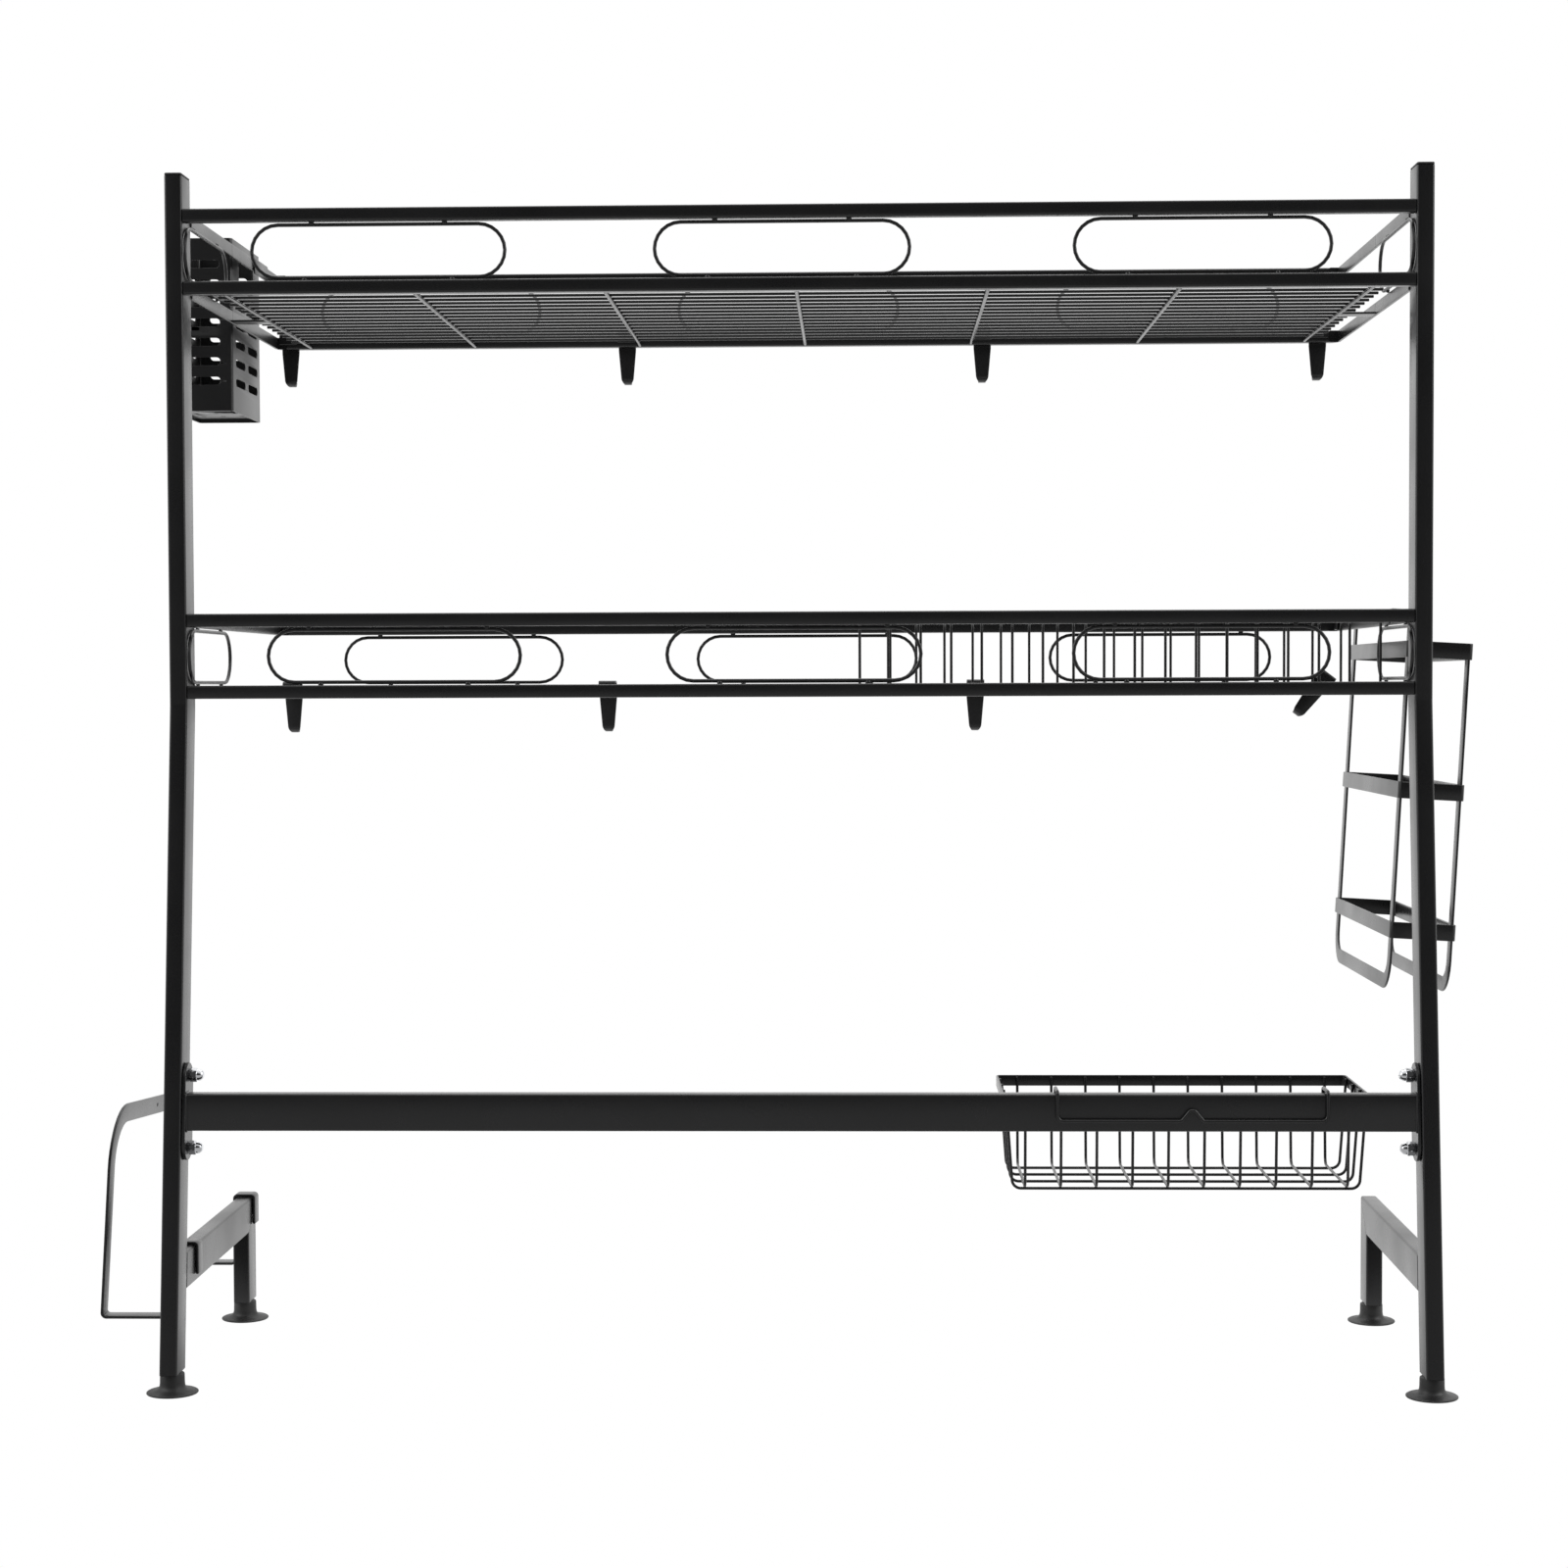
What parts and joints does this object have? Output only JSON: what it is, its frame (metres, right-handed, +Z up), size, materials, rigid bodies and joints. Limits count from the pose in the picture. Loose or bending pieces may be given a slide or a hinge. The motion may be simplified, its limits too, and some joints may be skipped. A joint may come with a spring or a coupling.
{
  "type": "over sink dish rack",
  "caption": "Two-tier black steel dish rack that stands astride a sink, with wire shelves, hooks, cutlery box, sponge basket, board guard, lid holder and plate divider.",
  "frame": {"origin": "middle of the footprint, on the plane that the feet stand on", "axes": "+X across the sink, +Y from the wall towards the user, +Z up"},
  "size_m": [0.948, 0.3848, 0.818],
  "materials": {
    "tube_coat": "satin black powder coat on steel tube and flat bar",
    "wire_coat": "satin black powder coat on drawn steel wire",
    "sheet_coat": "fine satin black powder coat on pressed sheet steel",
    "cap_plastic": "moulded black plastic",
    "foot_rubber": "soft black moulded foot",
    "nut_chrome": "bright chrome plate",
    "fixing_steel": "zinc-plated steel"
  },
  "bodies": {
    "frame": {"acorn_nut_left_lower": "nut_chrome", "acorn_nut_left_upper": "nut_chrome", "acorn_nut_right_lower": "nut_chrome", "acorn_nut_right_upper": "nut_chrome", "crossbar": "tube_coat", "crossbar_bolt_left_lower": "fixing_steel", "crossbar_bolt_left_upper": "fixing_steel", "crossbar_bolt_right_lower": "fixing_steel", "crossbar_bolt_right_upper": "fixing_steel", "foot_front_left": "foot_rubber", "foot_front_right": "foot_rubber", "foot_rear_left": "foot_rubber", "foot_rear_right": "foot_rubber", "middle_shelf_bracket_left": "tube_coat", "middle_shelf_bracket_right": "tube_coat", "middle_shelf_front_panel": "tube_coat", "middle_shelf_grid": "wire_coat", "middle_shelf_rear_panel": "tube_coat", "middle_shelf_return_left_lower": "tube_coat", "middle_shelf_return_left_upper": "tube_coat", "middle_shelf_return_right_lower": "tube_coat", "middle_shelf_return_right_upper": "tube_coat", "middle_shelf_screw_left_lower": "fixing_steel", "middle_shelf_screw_left_upper": "fixing_steel", "middle_shelf_screw_right_lower": "fixing_steel", "middle_shelf_screw_right_upper": "fixing_steel", "post_cap_left": "cap_plastic", "post_cap_right": "cap_plastic", "post_left": "tube_coat", "post_right": "tube_coat", "side_leg_left": "tube_coat", "side_leg_right": "tube_coat", "top_shelf_bracket_left": "tube_coat", "top_shelf_bracket_right": "tube_coat", "top_shelf_front_panel": "tube_coat", "top_shelf_grid": "wire_coat", "top_shelf_rear_panel": "tube_coat", "top_shelf_return_left_lower": "tube_coat", "top_shelf_return_left_upper": "tube_coat", "top_shelf_return_right_lower": "tube_coat", "top_shelf_return_right_upper": "tube_coat", "top_shelf_screw_left_lower": "fixing_steel", "top_shelf_screw_left_upper": "fixing_steel", "top_shelf_screw_right_lower": "fixing_steel", "top_shelf_screw_right_upper": "fixing_steel"},
    "hook_middle_1": {"hook_middle_1": "sheet_coat"},
    "hook_middle_2": {"hook_middle_2": "sheet_coat"},
    "hook_middle_3": {"hook_middle_3": "sheet_coat"},
    "hook_middle_4": {"hook_middle_4": "sheet_coat"},
    "hook_top_1": {"hook_top_1": "sheet_coat"},
    "hook_top_2": {"hook_top_2": "sheet_coat"},
    "hook_top_3": {"hook_top_3": "sheet_coat"},
    "hook_top_4": {"hook_top_4": "sheet_coat"},
    "utensil_box": {"utensil_box": "sheet_coat"},
    "board_guard": {"board_guard": "tube_coat"},
    "lid_holder": {"lid_holder": "tube_coat"},
    "sponge_basket": {"sponge_basket": "wire_coat", "basket_hanger": "wire_coat"},
    "plate_divider": {"plate_divider": "wire_coat"}
  },
  "joints": [
    {"name": "hook_middle_1_slide", "type": "slide", "parent": "frame", "child": "hook_middle_1", "axis": [1, 0, 0], "range_m": [-0.0003, 0.03]},
    {"name": "hook_middle_2_slide", "type": "slide", "parent": "frame", "child": "hook_middle_2", "axis": [1, 0, 0], "range_m": [-0.025, 0.06]},
    {"name": "hook_middle_3_slide", "type": "slide", "parent": "frame", "child": "hook_middle_3", "axis": [1, 0, 0], "range_m": [-0.035, 0.048]},
    {"name": "hook_middle_4_slide", "type": "slide", "parent": "frame", "child": "hook_middle_4", "axis": [1, 0, 0], "range_m": [-0.03, 0.001]},
    {"name": "hook_top_1_slide", "type": "slide", "parent": "frame", "child": "hook_top_1", "axis": [1, 0, 0], "range_m": [-0.0005, 0.017]},
    {"name": "hook_top_2_slide", "type": "slide", "parent": "frame", "child": "hook_top_2", "axis": [1, 0, 0], "range_m": [-0.055, 0.03]},
    {"name": "hook_top_3_slide", "type": "slide", "parent": "frame", "child": "hook_top_3", "axis": [1, 0, 0], "range_m": [-0.055, 0.045]},
    {"name": "hook_top_4_slide", "type": "slide", "parent": "frame", "child": "hook_top_4", "axis": [1, 0, 0], "range_m": [-0.02, 0.0067]},
    {"name": "utensil_box_lift", "type": "slide", "parent": "frame", "child": "utensil_box", "axis": [0, 0, 1], "range_m": [0, 0.03]},
    {"name": "board_guard_lift", "type": "slide", "parent": "frame", "child": "board_guard", "axis": [0, 0, 1], "range_m": [0, 0.05]},
    {"name": "lid_holder_lift", "type": "slide", "parent": "frame", "child": "lid_holder", "axis": [0.0565, 0, 0.9984], "range_m": [0, 0.03]},
    {"name": "sponge_basket_lift", "type": "slide", "parent": "frame", "child": "sponge_basket", "axis": [0, 0, 1], "range_m": [0, 0.035]},
    {"name": "plate_divider_lift", "type": "slide", "parent": "frame", "child": "plate_divider", "axis": [0, 0, 1], "range_m": [0, 0.08]}
  ]
}
